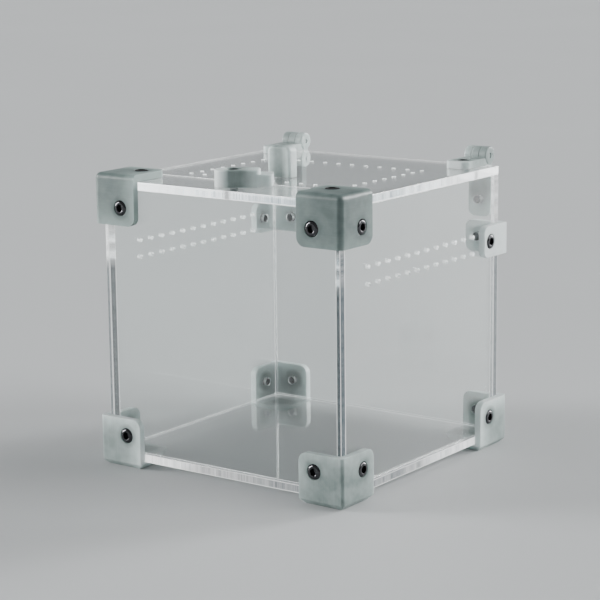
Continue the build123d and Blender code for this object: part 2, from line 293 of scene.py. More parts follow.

# %% [markdown]
# ## Printed plastic
# The brackets are printed from unpigmented plastic, which is milky and a little green: light goes
# in, scatters and comes out a few millimetres away. Subsurface scattering and some rough
# transmission do this. Light and shade are also painted into the colour: thin free ends are
# painted pale, and the plastic is painted greyer where legs meet, in a ring round each black screw,
# and in the whole front right corner. Over it lie the layer lines, 0.2 mm apart and uneven as on a
# real print, and soft blotches where the plastic fused more or less fully.


# %% Where printed plastic is painted pale or shaded
def painted_corner_light(plastic):
    """Painted light and shade: pale at the free ends of a corner's legs, painted shade round the screws and
    in the front right corner.
    """
    depths = [HALF[i] + WALL - abs(plastic.along(i)) for i in range(3)]
    free = depths[0].larger(depths[1]).larger(depths[2]).within(8.0, WALL + LEG)
    # Painted shade: a darker ring round each screw, and the whole front right corner darker.
    off = [(depth - (WALL + SCREW_INSET)) * (depth - (WALL + SCREW_INSET)) for depth in depths]
    from_screw = (off[0] + off[1]).smaller(off[1] + off[2]).smaller(off[0] + off[2])
    outside_painted_screw_shade = from_screw.within(2.8**2, 4.6**2)
    away = (HALF[0] - plastic.along(0) + HALF[1] + plastic.along(1)).within(14.0, 40.0)
    return (free * free * 0.75 + 0.25) * (outside_painted_screw_shade * 0.7 + 0.3) * (away * 0.6 + 0.4)


def painted_tab_light(plastic):
    """Painted light and shade: pale at both ends of the upright tab, and darker towards its foot, where the
    screw sits inside it.
    """
    ends = abs(plastic.along(0)).within(1.2, 4.6)
    foot = (plastic.along(2) - HALF[2]).within(1.0, 7.0)
    return ends * 0.8 + foot * 0.2


def painted_lever_light(plastic):
    """Painted light and shade: pale at the tail and at the step of the latch, and painted shade round its
    screw.
    """
    off_x, off_y = plastic.along(0), plastic.along(1) - (PIVOT_Y - MIDDLE[1])
    run = off_x * cos(LATCH_TURN) + off_y * sin(LATCH_TURN)
    tail = (0 - run).within(1.5, 3.6)
    step = run.within(2.5, 8.5)
    return tail.larger(step * 0.85) + 0.1


# %% Printed plastic finishes
def printed_plastic(name, layers, pale, painted_shade_tint, painted_lit_tint):
    """Milky print; layers is the direction that the layers are stacked in, and pale gives the mix of
    painted light and shade between the two tints.
    """
    plastic = Finish(name)
    factors = {0: plastic.place, 1: layers}
    height = plastic.node("VectorMath", {"operation": "DOT_PRODUCT"}, factors, output="Value")
    wander = plastic.noise((0.12, 0.12, 0.12), detail=3.0)
    phase = (height * (1 / MM) + wander * 0.5) * (2 * pi / LAYER)
    line = plastic.node("Math", {"operation": "SINE"}, {0: phase})
    uneven = plastic.noise([0.08 + 2.4 * abs(part) for part in layers], detail=2.0)
    blotch = plastic.noise((0.25, 0.25, 0.25), detail=4.0)
    grain = plastic.noise((3.0, 3.0, 3.0), detail=2.0)
    # Random tone from uneven layers and blotches, not light or shade.
    shade = uneven.within(0.3, 0.7) * 0.25 + blotch.within(0.35, 0.65) * 0.75
    surface = line * 0.25 + uneven * 0.7 + grain * 0.7
    return plastic.set(
        # Base colour: painted light and shade, from pale, between the tint in painted shade and the lit
        # tint.
        Base_Color=plastic.mixed(pale(plastic) * 0.9 + shade * 0.2, painted_shade_tint + (1,), painted_lit_tint + (1,)),
        Subsurface_Weight=0.8,
        Subsurface_Radius=(1.0, 1.0, 1.0),
        Subsurface_Scale=0.0012,
        Transmission_Weight=0.25,
        IOR=1.46,
        Roughness=grain.within(0.3, 0.7) * 0.12 + 0.36,
        Normal=plastic.relief(surface, 0.012),
    )


LAYER = 0.2  # height of a printed layer in millimetres
# Each finish mixes a tint in painted shade with a lit one. The caps get the darkest pair, INKY and MILKY,
# as painted shade, and the rear angle brackets the lighter CLOUDY, as painted light.
INKY, MURKY, CLOUDY = (0.07, 0.105, 0.10), (0.12, 0.17, 0.16), (0.20, 0.27, 0.255)
MILKY, PALE = (0.40, 0.50, 0.48), (0.86, 0.97, 0.95)
print_cap_shaded = printed_plastic("printed_plastic_cap_shaded", Z_WAY, painted_corner_light, INKY, MILKY)
print_foot = printed_plastic("printed_plastic_foot", X_WAY, painted_corner_light, MURKY, PALE)
print_angle_lit = printed_plastic("printed_plastic_angle_lit", Z_WAY, painted_corner_light, CLOUDY, PALE)
print_tab = printed_plastic("printed_plastic_tab", X_WAY, painted_tab_light, MURKY, PALE)
lever_layers = (cos(LATCH_TURN), sin(LATCH_TURN), 0.0)
print_lever = printed_plastic("printed_plastic_lever", lever_layers, painted_lever_light, MURKY, PALE)

# %% [markdown]
# ## Steel
# The screws shine like wet ink, with one bright crescent from the lamps: the steel is given an almost
# black colour, a painted dark reflection of black surroundings. A metal's colour is its reflection, so
# a dark one needs strong, small lamps for its highlights. A fine noise in the roughness breaks the
# shine up.


# %% Steel finish
metal = Finish("screw_steel")
wear = metal.noise((1.5, 1.5, 1.5), detail=4.0)
pits = metal.noise((9.0, 9.0, 9.0))
screw_steel = metal.set(
    # Painted dark reflection: the steel is near black, varied at random by the wear noise.
    Base_Color=metal.mixed(wear, (0.052, 0.053, 0.056, 1), (0.08, 0.081, 0.085, 1)),
    Metallic=1.0,
    Roughness=wear.within(0.3, 0.8) * 0.06 + 0.06,
    Normal=metal.relief(pits, 0.002),
)

# %% [markdown]
# ## Hand tools
# Every piece below is made as by hand: a primitive, a few edit-mode operations, then modifiers
# that are applied. An operator works on all that is selected, so `alone` clears the selection
# first, and `pick` selects edges or faces by a test on their place.


# %% Hand tools
def alone(piece=None):
    """Object mode with nothing selected, or only one piece, which is then active."""
    if bpy.context.object and bpy.context.object.mode != "OBJECT":
        bpy.ops.object.mode_set(mode="OBJECT")
    bpy.ops.object.select_all(action="DESELECT")
    if piece:
        piece.select_set(True)
        bpy.context.view_layer.objects.active = piece
    return piece


def block(name, low, high):
    """A box between two corners in millimetres."""
    alone()
    bpy.ops.mesh.primitive_cube_add(size=1, location=metres([(a + b) / 2 for a, b in zip(low, high)]))
    piece = bpy.context.object
    piece.name = name
    piece.scale = metres([b - a for a, b in zip(low, high)])
    bpy.ops.object.transform_apply(location=True, rotation=True, scale=True)
    return piece


def rod(name, centre, axis, radius, length, sides=48):
    """A cylinder along an axis through its centre."""
    alone()
    turn = Vector((0, 0, 1)).rotation_difference(Vector(axis)).to_euler()
    bpy.ops.mesh.primitive_cylinder_add(
        vertices=sides, radius=radius * MM, depth=length * MM, location=metres(centre), rotation=turn
    )
    piece = bpy.context.object
    piece.name = name
    bpy.ops.object.transform_apply(location=True, rotation=True, scale=True)
    return piece


def near(a, b):
    """Whether two lengths in millimetres are the same."""
    return abs(a - b) < 0.02


def pick(piece, kind, test):
    """Edit mode, with the edges or faces selected whose middle and direction pass a test."""
    alone(piece)
    bpy.ops.object.mode_set(mode="EDIT")
    bpy.ops.mesh.select_mode(type=kind)
    bpy.ops.mesh.select_all(action="DESELECT")
    mesh = bmesh.from_edit_mesh(piece.data)
    count = 0
    for part in mesh.edges if kind == "EDGE" else mesh.faces:
        corners = [v.co / MM for v in part.verts]
        middle = sum(corners, Vector()) / len(corners)
        way = (corners[1] - corners[0]).normalized() if kind == "EDGE" else part.normal
        if test(middle, way):
            part.select_set(True)
            count += 1
    bmesh.update_edit_mesh(piece.data)
    return count


def round_edges(piece, radius, test, segments=8):
    """Rounds the edges that pass a test; one segment makes a chamfer."""
    count = pick(piece, "EDGE", test)
    bpy.ops.mesh.bevel(offset=radius * MM, offset_type="OFFSET", segments=segments, affect="EDGES")
    bpy.ops.object.mode_set(mode="OBJECT")
    return count


def boolean(piece, others, operation="DIFFERENCE"):
    """Cuts the others away from a piece or adds them to it, and removes them."""
    for other in others:
        change = piece.modifiers.new(operation.title(), "BOOLEAN")
        change.operation, change.solver, change.object = operation, "EXACT", other
        alone(piece)
        bpy.ops.object.modifier_apply(modifier=change.name)
        bpy.data.objects.remove(other)
    return piece


def joined(name, pieces):
    """Several pieces as one object."""
    alone(pieces[0])
    for piece in pieces:
        piece.select_set(True)
    bpy.ops.object.join()
    pieces[0].name = name
    return pieces[0]


def copied(piece, name, flip_x=False, flip_y=False):
    """A copy with its own mesh, mirrored to another corner of the box."""
    alone(piece)
    bpy.ops.object.duplicate()
    twin = bpy.context.object
    twin.name = name
    if flip_x or flip_y:
        bpy.ops.object.mode_set(mode="EDIT")
        bpy.ops.mesh.select_all(action="SELECT")
        for flip, axis in ((flip_x, (True, False, False)), (flip_y, (False, True, False))):
            if flip:
                bpy.ops.transform.mirror(
                    orient_type="GLOBAL", constraint_axis=axis, center_override=metres(MIDDLE)
                )
        bpy.ops.mesh.normals_make_consistent(inside=False)
        bpy.ops.object.mode_set(mode="OBJECT")
    return twin


def softened(piece, radius=0.1, angle=40):
    """Breaks every sharp edge a little, and lets the large flat faces set the shading."""
    if radius:
        bevel = piece.modifiers.new("Broken edges", "BEVEL")
        bevel.width, bevel.segments = radius * MM, 2
        bevel.limit_method, bevel.angle_limit = "ANGLE", radians(angle)
        alone(piece)
        bpy.ops.object.modifier_apply(modifier=bevel.name)
    alone(piece)
    bpy.ops.object.shade_smooth_by_angle(angle=radians(angle))
    weighted = piece.modifiers.new("Flat faces first", "WEIGHTED_NORMAL")
    weighted.keep_sharp = True
    bpy.ops.object.modifier_apply(modifier=weighted.name)
    return piece


def deliver(piece, body, slot, material, *nodes):
    """Gives a piece its finish and lets it stand for its CAD nodes on their body."""
    if material:
        piece.data.materials.clear()
        piece.data.materials.append(material)
    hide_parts(*nodes)
    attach(piece, body)
    return piece


# %% [markdown]
# ## The sheets
# Each sheet is a cube with its edges just broken. The holes are cut by one boolean with all the
# drills joined together, which is quicker and cleaner than one at a time. The vents are rows of
# 1.5 mm holes, 6 mm apart. The screws cut their own thread in plain holes. Each face then gets one
# of four finishes by its place: flat face, cut edge, wall of a tapped hole or wall of a vent.

# %% Where the screws and vents are
VENT_RADIUS, PITCH = 0.75, 6.0
VENT_ROWS_Z = (TOP - 23.7, TOP - 29.7)
COLUMNS = [(i - 5.5) * PITCH for i in range(12)]
LID_FRONT = FRONT + 20.2
LID_ROWS = [LID_FRONT + 7.3 + i * PITCH for i in range(9)]
HINGE_X = RIGHT - 9.0
LID_LEAF_SCREW_Y = REAR - 9.3
WALL_LEAF_SCREW_Z = TOP - 12.3
GRIP_Y = LID_FRONT + 17.0
BACK_BRACKET_Z = TOP - 26.0

LOW, HIGH = BASE + SCREW_INSET, TOP - SCREW_INSET
OUT_X, NEAR_Y, FAR_Y = RIGHT - SCREW_INSET, FRONT + SCREW_INSET, REAR - SCREW_INSET
front_seats = [(side * OUT_X, FRONT, z) for side in (-1, 1) for z in (LOW, HIGH)]
back_seats = [(side * OUT_X, REAR, z) for side in (-1, 1) for z in (LOW, BACK_BRACKET_Z)]
back_seats += [(side * HINGE_X, REAR, WALL_LEAF_SCREW_Z) for side in (-1, 1)]
side_seats = [(0, NEAR_Y, z) for z in (LOW, HIGH)] + [(0, FAR_Y, z) for z in (LOW, BACK_BRACKET_Z)]
strip_seats = [(side * OUT_X, NEAR_Y, TOP) for side in (-1, 1)] + [(0, PIVOT_Y, TOP)]
lid_seats = [(side * HINGE_X, LID_LEAF_SCREW_Y, TOP) for side in (-1, 1)] + [(0, GRIP_Y, TOP)]
lid_vents = [
    (x, y, TOP)
    for x in COLUMNS
    for y in LID_ROWS
    if x in (COLUMNS[0], COLUMNS[-1]) or y in (LID_ROWS[0], LID_ROWS[-1])
]
side_vents = [(0, MIDDLE[1] + run, z) for run in COLUMNS for z in VENT_ROWS_Z]
print(len(lid_vents), "vents in the lid,", len(side_vents), "in each side")


# %% Make a sheet
AIR = 0.04  # a hair of air round each sheet, so that clear faces never coincide
SHEET_ROUNDING = 0.15
WALL_SLOPE = 0.6  # a face that leans less than this along the thickness belongs to a wall
EDGE_DEPTH, VENT_REACH = 0.5, 1.0  # how near its edge or its vent's middle a wall face lies
FACE, EDGE, TAPPED, VENT = range(4)


def sheet(node, thickness_axis, seats=(), vents=()):
    """One sheet of acrylic in place of its CAD node, with screw holes and vents through it."""
    low, high = [[v / MM for v in corner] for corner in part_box(node)]
    piece = block(node + "_acrylic", [v + AIR for v in low], [v - AIR for v in high])
    round_edges(piece, SHEET_ROUNDING, lambda middle, way: True, segments=2)
    drills = []
    for places, radius, sides in ((seats, TAPPED_RADIUS, 32), (vents, VENT_RADIUS, 20)):
        for place in places:
            centre = list(place)
            centre[thickness_axis] = (low[thickness_axis] + high[thickness_axis]) / 2
            way = (X_WAY, Y_WAY, Z_WAY)[thickness_axis]
            drills.append(rod("drill", centre, way, radius, 3 * SHEET, sides))
    if drills:
        boolean(piece, [joined("drills", drills)])
    softened(piece, radius=0)
    for finish in (acrylic_face, cut_edges[thickness_axis], tapped_wall, vent_wall):
        piece.data.materials.append(finish)
    flat = [i for i in range(3) if i != thickness_axis]
    for face in piece.data.polygons:
        face.material_index = FACE
        in_wall = abs(face.normal[thickness_axis]) <= WALL_SLOPE
        if in_wall:
            middle = face.center / MM
            at_edge = any(min(middle[i] - low[i], high[i] - middle[i]) < EDGE_DEPTH for i in flat)
            in_vent = any(hypot(*(middle[i] - place[i] for i in flat)) < VENT_REACH for place in vents)
            face.material_index = EDGE if at_edge else VENT if in_vent else TAPPED
    deliver(piece, "lid" if node == "lid_panel" else "enclosure", "clear_acrylic", None, node)
    return piece


# %% All seven sheets
sheets = [
    sheet("base_panel", 2),
    sheet("front_panel", 1, front_seats),
    sheet("back_panel", 1, back_seats),
    sheet("left_panel", 0, side_seats, side_vents),
    sheet("right_panel", 0, side_seats, side_vents),
    sheet("top_front_strip", 2, strip_seats),
    sheet("lid_panel", 2, lid_seats, lid_vents),
]
print("sheets:", {piece.name: len(piece.data.polygons) for piece in sheets})

# %% [markdown]
# ## Cap screws
# The screws are M3 cap screws with a low head, sunk in the plastic. The head is a cylinder whose rim
# is rounded so far that it catches the lamps in a long crescent. The socket is a six-sided hole with
# a small cone at its mouth, which shows as a thin bright ring. The thread is a triangle carried
# round a helix by the Screw modifier, and it shows through the acrylic.

# %% One screw of each length
HEAD_RADIUS, HEAD_HEIGHT = 2.7, 2.0
HEAD_ROUNDING, UNDERSIDE_ROUNDING, TIP_CHAMFER = 1.0, 0.15, 0.35
SOCKET_FLATS, SOCKET_DEPTH = 2.5, 1.2
MOUTH_INNER, MOUTH_OUTER, MOUTH_DEPTH = 0.9, 2.05, 0.5
CORE_OVERLAP = 0.4  # how far the core reaches into the head
THREAD_PITCH, THREAD_START, THREAD_FREE = 0.5, 0.5, 0.6
THREAD_CORNERS = ((1.12, -0.24), (1.48, 0.0), (1.12, 0.24))  # radius and height of a triangle
BRACKET_SCREW, LEVER_SCREW, TAB_SCREW = 4.0, 8.0, 10.0  # lengths under the head


def cap_screw(name, length):
    """A screw that points down, with the underside of its head at zero."""
    head = rod(name, (0, 0, HEAD_HEIGHT / 2), Z_WAY, HEAD_RADIUS, HEAD_HEIGHT, sides=64)
    round_edges(head, HEAD_ROUNDING, lambda middle, way: near(middle.z, HEAD_HEIGHT), segments=8)
    round_edges(head, UNDERSIDE_ROUNDING, lambda middle, way: near(middle.z, 0), segments=2)
    across_corners = SOCKET_FLATS / cos(pi / 6)
    boolean(head, [rod("key", (0, 0, HEAD_HEIGHT), Z_WAY, across_corners / 2, 2 * SOCKET_DEPTH, sides=6)])
    alone()
    bpy.ops.mesh.primitive_cone_add(
        vertices=64,
        radius1=MOUTH_INNER * MM,
        radius2=MOUTH_OUTER * MM,
        depth=MOUTH_DEPTH * MM,
        location=metres((0, 0, HEAD_HEIGHT)),
    )
    mouth = bpy.context.object
    bpy.ops.object.transform_apply(location=True, rotation=True, scale=True)
    boolean(head, [mouth])
    core_middle = (0, 0, (CORE_OVERLAP - length) / 2)
    core = rod("core", core_middle, Z_WAY, SCREW_RADIUS, length + CORE_OVERLAP, sides=24)
    round_edges(core, TIP_CHAMFER, lambda middle, way: near(middle.z, -length), segments=1)
    return joined(name, [head, core, thread_ridge(length)])


def thread_ridge(length):
    """The ridge of the thread: a triangle that is screwed round the Z axis."""
    alone()
    bpy.ops.mesh.primitive_circle_add(vertices=len(THREAD_CORNERS), radius=MM)
    ridge = bpy.context.object
    for vertex, (x, z) in zip(ridge.data.vertices, THREAD_CORNERS):
        vertex.co = metres((x, 0, z - length + THREAD_START))
    turns = round((length - THREAD_FREE) / THREAD_PITCH)
    wind = ridge.modifiers.new("Thread", "SCREW")
    wind.angle, wind.screw_offset, wind.iterations = 2 * pi, THREAD_PITCH * MM, turns
    wind.steps = wind.render_steps = 20
    wind.use_merge_vertices, wind.merge_threshold = True, 0.00001 * MM
    alone(ridge)
    bpy.ops.object.modifier_apply(modifier=wind.name)
    bpy.ops.object.mode_set(mode="EDIT")
    bpy.ops.mesh.select_all(action="SELECT")
    bpy.ops.mesh.fill_holes(sides=3)
    bpy.ops.mesh.select_all(action="SELECT")
    bpy.ops.mesh.normals_make_consistent(inside=False)
    bpy.ops.object.mode_set(mode="OBJECT")
    return ridge


bracket_screw = softened(cap_screw("bracket_screw", BRACKET_SCREW), radius=0)
lever_screw = softened(cap_screw("lever_screw", LEVER_SCREW), radius=0)
tab_screw = softened(cap_screw("tab_screw", TAB_SCREW), radius=0)
print("faces of a bracket screw:", len(bracket_screw.data.polygons))


# %% Put a screw on a seat
def screw_at(model, seat, outward, web, turn):
    """A copy of a screw with its head's underside so far outside its seat."""
    twin = copied(model, "screw")
    aim = Vector((0, 0, 1)).rotation_difference(Vector(outward)).to_matrix().to_4x4()
    spin = Matrix.Rotation(radians(turn), 4, "Z")
    twin.data.transform(Matrix.Translation(metres(Vector(seat) + Vector(outward) * web)) @ aim @ spin)
    return twin


def screw_group(node, body, seats, web, model=bracket_screw):
    """The screws of one CAD node as one piece, each with its socket turned another way."""
    screws = [screw_at(model, *place, web, turn=17 + 23 * i) for i, place in enumerate(seats)]
    group = joined(node + "_steel", screws)
    return deliver(group, body, "screw_steel", screw_steel, node)


# %% Place the screws
HEAD_PROUD, LEVER_SINK = 0.3, 0.2
LEVER_TOP = 6.0
BRACKET_WEB = WALL - HEAD_HEIGHT + HEAD_PROUD
LEAF_WEB = LEAF - HEAD_HEIGHT
LEVER_WEB = LEVER_TOP - HEAD_HEIGHT - LEVER_SINK
for side, s in (("left", -1), ("right", 1)):
    x_face, x_in, out = s * RIGHT, s * OUT_X, (s, 0, 0)
    for end, y_face, y_in, way in (("front", FRONT, NEAR_Y, TO_FRONT), ("rear", REAR, FAR_Y, Y_WAY)):
        two = [((x_in, y_face, LOW), way), ((x_face, y_in, LOW), out)]
        screw_group(f"bottom_screws_{end}_{side}", "enclosure", two, BRACKET_WEB)
    three = [((x_in, FRONT, HIGH), TO_FRONT), ((x_face, NEAR_Y, HIGH), out), ((x_in, NEAR_Y, TOP), Z_WAY)]
    screw_group(f"top_cap_screws_{side}", "enclosure", three, BRACKET_WEB)
    two = [((x_in, REAR, BACK_BRACKET_Z), Y_WAY), ((x_face, FAR_Y, BACK_BRACKET_Z), out)]
    screw_group(f"rear_bracket_screws_{side}", "enclosure", two, BRACKET_WEB)
    one = [((s * HINGE_X, LID_LEAF_SCREW_Y, TOP), Z_WAY)]
    screw_group(f"hinge_lid_screw_{side}", "lid", one, LEAF_WEB)
    one = [((s * HINGE_X, REAR, WALL_LEAF_SCREW_Z), Y_WAY)]
    screw_group(f"hinge_wall_screw_{side}", "enclosure", one, LEAF_WEB)

screw_group("latch_pivot_screw", "enclosure", [((0, PIVOT_Y, TOP), Z_WAY)], LEVER_WEB, lever_screw)
screw_group("lid_grip_screw", "lid", [((0, GRIP_Y, TOP - SHEET), DOWN)], 0.0, tab_screw)
for model in (bracket_screw, lever_screw, tab_screw):
    bpy.data.objects.remove(model)

# %% [markdown]
# ## Feet and caps
# Both are corners with three square legs. A cube is cut by the corner of the acrylic box, which
# leaves the three legs at their exact thickness, and then the edges are rounded or chamfered in
# the order that a printed part shows: leg corners first, then the long outer edges. The feet are
# chamfered where they were pressed on the print bed. One is modelled, the others are mirrored.


# %% Shape of a corner piece
HEAD_AIR = 0.06
HOLE_LENGTH, RECESS_LENGTH = 6.0, 8.0
PAST = 5.0  # how far a cutter reaches past what it cuts
LEG_CORNER, FOOT_CHAMFER, OUTER_ROUNDING, CAP_ROUNDING = 3.2, 1.8, 1.2, 2.0


def counterbore(seat, outward, web):
    """The drills for a screw and its head in a printed part."""
    foot_of_hole, way = Vector(seat), Vector(outward)
    hole = rod("hole", foot_of_hole + way, outward, CLEAR_RADIUS, HOLE_LENGTH, sides=40)
    middle = foot_of_hole + way * (web + RECESS_LENGTH / 2)
    return [hole, rod("recess", middle, outward, HEAD_RADIUS + HEAD_AIR, RECESS_LENGTH, sides=64)]


def corner_legs(name, z_face, z_way):
    """Three square legs at the left front corner, with rounded free corners."""
    z_end, past_leg = z_face - z_way * LEG, LEG + PAST
    z_outer = sorted((z_face + z_way * WALL, z_end))
    legs = block(name, (LEFT - WALL, FRONT - WALL, z_outer[0]), (LEFT + LEG, FRONT + LEG, z_outer[1]))
    z_inner = sorted((z_face, z_face - z_way * past_leg))
    corner = block("corner", (LEFT, FRONT, z_inner[0]), (LEFT + past_leg, FRONT + past_leg, z_inner[1]))
    boolean(legs, [corner])

    def free(middle, way):
        on_front = abs(way.y) > 0.9 and near(middle.x, LEFT + LEG) and near(middle.z, z_end)
        on_side = abs(way.x) > 0.9 and near(middle.y, FRONT + LEG) and near(middle.z, z_end)
        on_level = abs(way.z) > 0.9 and near(middle.x, LEFT + LEG) and near(middle.y, FRONT + LEG)
        return on_front or on_side or on_level

    count = round_edges(legs, LEG_CORNER, free)
    print(name, "rounded", count, "leg corners")
    return legs


# %% The foot
def bed_edge(middle, way):
    return near(middle.z, BASE - WALL) and abs(way.z) < 0.1


def upright_edge(middle, way):
    return abs(way.z) > 0.9 and near(middle.x, LEFT - WALL) and near(middle.y, FRONT - WALL)


foot = corner_legs("foot", BASE, -1)
round_edges(foot, FOOT_CHAMFER, bed_edge, segments=1)
round_edges(foot, OUTER_ROUNDING, upright_edge)
front_drills = counterbore((LEFT + SCREW_INSET, FRONT, LOW), TO_FRONT, BRACKET_WEB)
left_drills = counterbore((LEFT, NEAR_Y, LOW), TO_LEFT, BRACKET_WEB)
boolean(foot, front_drills + left_drills)


# %% The cap
def outer_edge(middle, way):
    at_x, at_y, at_z = near(middle.x, LEFT - WALL), near(middle.y, FRONT - WALL), near(middle.z, TOP + WALL)
    return (at_x and at_y) or (at_y and at_z) or (at_x and at_z)


cap = corner_legs("cap", TOP, 1)
round_edges(cap, CAP_ROUNDING, outer_edge)
front_drills = counterbore((LEFT + SCREW_INSET, FRONT, HIGH), TO_FRONT, BRACKET_WEB)
left_drills = counterbore((LEFT, NEAR_Y, HIGH), TO_LEFT, BRACKET_WEB)
top_drills = counterbore((LEFT + SCREW_INSET, NEAR_Y, TOP), Z_WAY, BRACKET_WEB)
boolean(cap, front_drills + left_drills + top_drills)

# %% [markdown]
# ## Rear edge brackets
# Two small angle brackets hold the back edge of the side sheets, below the hinges. They have two
# legs only, so that the lid can swing over them.

# %% The rear bracket
ANGLE_HALF, ANGLE_CORNER = 5.7, 2.6
ANGLE_END, ANGLE_FRONT = LEFT + 14.8, REAR - 13.5


def free_corner(middle, way):
    on_back = abs(way.y) > 0.9 and near(middle.x, ANGLE_END)
    on_side = abs(way.x) > 0.9 and near(middle.y, ANGLE_FRONT)
    return on_back or on_side


def back_upright_edge(middle, way):
    return abs(way.z) > 0.9 and near(middle.x, LEFT - WALL) and near(middle.y, REAR + WALL)


z_low, z_high = BACK_BRACKET_Z - ANGLE_HALF, BACK_BRACKET_Z + ANGLE_HALF
angle = block("angle", (LEFT - WALL, ANGLE_FRONT, z_low), (ANGLE_END, REAR + WALL, z_high))
inside = block("corner", (LEFT, ANGLE_FRONT - PAST, z_low - PAST), (ANGLE_END + PAST, REAR, z_high + PAST))
boolean(angle, [inside])
round_edges(angle, ANGLE_CORNER, free_corner)
round_edges(angle, OUTER_ROUNDING, back_upright_edge)
back_drills = counterbore((LEFT + SCREW_INSET, REAR, BACK_BRACKET_Z), Y_WAY, BRACKET_WEB)
left_drills = counterbore((LEFT, FAR_Y, BACK_BRACKET_Z), TO_LEFT, BRACKET_WEB)
boolean(angle, back_drills + left_drills)

# %% Place the brackets
for side, flip_x in (("left", False), ("right", True)):
    for end, flip_y in (("front", False), ("rear", True)):
        piece = softened(copied(foot, f"foot_{end}_{side}", flip_x, flip_y))
        deliver(piece, "enclosure", "printed_plastic", print_foot, f"bottom_bracket_{end}_{side}")
    piece = softened(copied(cap, f"cap_{side}", flip_x))
    deliver(piece, "enclosure", "printed_plastic", print_cap_shaded, f"top_cap_{side}")
    piece = softened(copied(angle, f"back_angle_{side}", flip_x))
    deliver(piece, "enclosure", "printed_plastic", print_angle_lit, f"rear_bracket_{side}")
for model in (foot, cap, angle):
    bpy.data.objects.remove(model)

# %% [markdown]
# ## Hinges
# Each hinge is two printed leaves and a pin, a short length of plain filament. The leaf on the lid
# has the middle knuckle, and the leaf on the back sheet has the two outer ones. The knuckles are
# discs round the pin, joined to their plates with a union, and the free rims are well rounded.

# %% Hinge sizes
KNUCKLE, KNUCKLE_GAP, KNUCKLE_RIM, LEAF_CORNER = 3.25, 0.3, 0.6, 2.6
PIN_RADIUS, PIN_PLAY, PIN_GRIP, PIN_RECESS, PIN_ROUNDING = 0.875, 0.05, 0.02, 0.3, 0.2
PIN_Y, PIN_Z = REAR + 1.5, TOP + KNUCKLE
LID_LEAF_FRONT, LID_LEAF_REAR, WALL_LEAF_LOW = REAR - 15.2, REAR - KNUCKLE_GAP, TOP - 18.7
JOIN = 0.8  # how far pieces that are joined overlap
HINGE = (HINGE_X - 4.6, HINGE_X + 4.6)
KNUCKLE_LENGTH = (HINGE[1] - HINGE[0] - 2 * KNUCKLE_GAP) / 3
OUTER = [(HINGE[0], HINGE[0] + KNUCKLE_LENGTH), (HINGE[1] - KNUCKLE_LENGTH, HINGE[1])]
INNER = (HINGE[0] + KNUCKLE_LENGTH + KNUCKLE_GAP, HINGE[1] - KNUCKLE_LENGTH - KNUCKLE_GAP)


def disc(x_range, radius, sides=64):
    """A cylinder round the pin between two X limits."""
    return rod("disc", (sum(x_range) / 2, PIN_Y, PIN_Z), X_WAY, radius, x_range[1] - x_range[0], sides)


def rims_at(*places):
    """A test that the round edges of a disc pass when their X is one of the places."""
    return lambda middle, way: abs(way.x) < 0.1 and any(near(middle.x, x) for x in places)


# %% Leaf on the lid
lid_leaf = block("lid_leaf", (HINGE[0], LID_LEAF_FRONT, TOP), (HINGE[1], LID_LEAF_REAR, TOP + LEAF))
round_edges(lid_leaf, LEAF_CORNER, lambda middle, way: abs(way.z) > 0.9 and near(middle.y, LID_LEAF_FRONT))
slots = [(low - KNUCKLE_GAP, high + KNUCKLE_GAP) for low, high in OUTER]
boolean(lid_leaf, [disc(slot, KNUCKLE + KNUCKLE_GAP) for slot in slots])
neck = block("neck", (INNER[0], LID_LEAF_REAR - 1, TOP), (INNER[1], PIN_Y, TOP + LEAF))
boolean(lid_leaf, [neck, disc(INNER, KNUCKLE)], "UNION")
lid_leaf_drills = counterbore((HINGE_X, LID_LEAF_SCREW_Y, TOP), Z_WAY, LEAF_WEB)
boolean(lid_leaf, [disc(HINGE, PIN_RADIUS + PIN_PLAY, 32)] + lid_leaf_drills)

# %% Leaf on the back sheet
wall_leaf = block("wall_leaf", (HINGE[0], REAR, WALL_LEAF_LOW), (HINGE[1], REAR + LEAF, TOP - KNUCKLE_GAP))
round_edges(wall_leaf, LEAF_CORNER, lambda middle, way: abs(way.y) > 0.9 and near(middle.z, WALL_LEAF_LOW))
for (low, high), rim in zip(OUTER, HINGE):
    post = block("post", (low, REAR, TOP - JOIN), (high, REAR + LEAF, PIN_Z))
    knuckle = disc((low, high), KNUCKLE)
    round_edges(knuckle, KNUCKLE_RIM, rims_at(rim), segments=5)
    boolean(wall_leaf, [post, knuckle], "UNION")
pin_bore = disc((HINGE[0] - 1, HINGE[1] + 1), PIN_RADIUS + PIN_GRIP, 32)
wall_leaf_drills = counterbore((HINGE_X, REAR, WALL_LEAF_SCREW_Z), Y_WAY, LEAF_WEB)
boolean(wall_leaf, [pin_bore] + wall_leaf_drills)

# %% Pin, and place the hinges
PIN_ENDS = (HINGE[0] + PIN_RECESS, HINGE[1] - PIN_RECESS)
pin = disc(PIN_ENDS, PIN_RADIUS, 32)
round_edges(pin, PIN_ROUNDING, rims_at(*PIN_ENDS), segments=3)
for side, flip_x in (("right", False), ("left", True)):
    piece = softened(copied(lid_leaf, f"hinge_leaf_lid_{side}", flip_x))
    deliver(piece, "lid", "printed_plastic", print_foot, f"hinge_lid_leaf_{side}")
    piece = softened(copied(wall_leaf, f"hinge_leaf_back_{side}", flip_x))
    deliver(piece, "enclosure", "printed_plastic", print_foot, f"hinge_wall_leaf_{side}")
    piece = softened(copied(pin, f"hinge_filament_{side}", flip_x), radius=0)
    deliver(piece, "enclosure", "printed_plastic", print_foot, f"hinge_pin_{side}")
for model in (lid_leaf, wall_leaf, pin):
    bpy.data.objects.remove(model)
print("hinge pin axis at y", round(PIN_Y, 2), "z", round(PIN_Z, 2))

# %% [markdown]
# ## Turn latch
# The latch is one print: a thick finger grip round its pivot screw and a lower tongue that slides
# over the lid. It is made pointing along X from the pivot and then turned to its rest angle. The
# two blocks are shaped on their own and joined with a union, which keeps the step between them.

